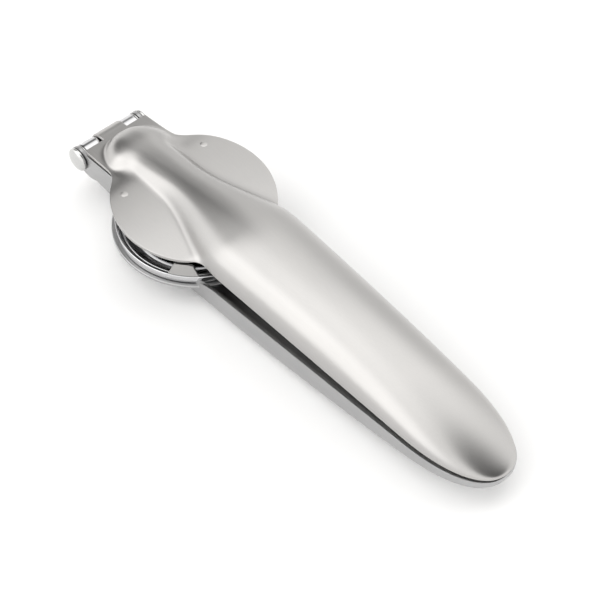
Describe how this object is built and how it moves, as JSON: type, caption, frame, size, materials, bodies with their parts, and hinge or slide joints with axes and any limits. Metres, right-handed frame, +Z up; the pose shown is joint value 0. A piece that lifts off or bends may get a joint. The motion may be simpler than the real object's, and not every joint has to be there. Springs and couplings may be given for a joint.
{
  "type": "garlic press",
  "caption": "Pressed-steel garlic press with a hinged cover handle, a swing-out basket with a perforated sieve and a tilting plunger.",
  "frame": {"origin": "middle of the closed press's footprint, on the surface that it lies on", "axes": "+X from the hinge towards the tail of the handles, +Y along the hinge pin, +Z up"},
  "size_m": [0.1878, 0.0558, 0.0322],
  "materials": {
    "upper_handle_satin": "fine satin brushed stainless steel",
    "lower_handle_satin": "satin stainless steel",
    "polished_steel": "polished stainless steel",
    "sieve_steel": "punched stainless steel plate",
    "turned_steel": "turned stainless steel",
    "inner_steel": "plain pressed stainless steel"
  },
  "bodies": {
    "lower_handle": {"lower_handle": "lower_handle_satin", "hinge_pin": "turned_steel", "pin_head_left": "turned_steel", "pin_head_right": "turned_steel", "hinge_washer_left": "turned_steel", "hinge_washer_right": "turned_steel"},
    "basket": {"basket_cup": "polished_steel", "basket_rim": "polished_steel", "sieve_plate": "sieve_steel", "hinge_strap": "polished_steel", "lift_tab_left": "upper_handle_satin", "lift_tab_right": "upper_handle_satin"},
    "upper_handle": {"upper_handle": "upper_handle_satin", "plunger_saddle": "inner_steel", "cover_rivet_left": "upper_handle_satin", "cover_rivet_right": "upper_handle_satin", "pivot_pin": "turned_steel"},
    "plunger": {"plunger_yoke": "inner_steel", "plunger_pan": "polished_steel"}
  },
  "joints": [
    {"name": "basket_hinge", "type": "hinge", "parent": "lower_handle", "child": "basket", "pos_m": [-0.08972, 0, 0.0149], "axis": [0, -1, 0], "range_deg": [0, 70]},
    {"name": "handle_hinge", "type": "hinge", "parent": "basket", "child": "upper_handle", "pos_m": [-0.08972, 0, 0.0149], "axis": [0, -1, 0], "range_deg": [0, 110]},
    {"name": "plunger_pivot", "type": "hinge", "parent": "upper_handle", "child": "plunger", "pos_m": [-0.04612, 0, 0.0148], "axis": [0, -1, 0], "range_deg": [-4, 4]}
  ]
}
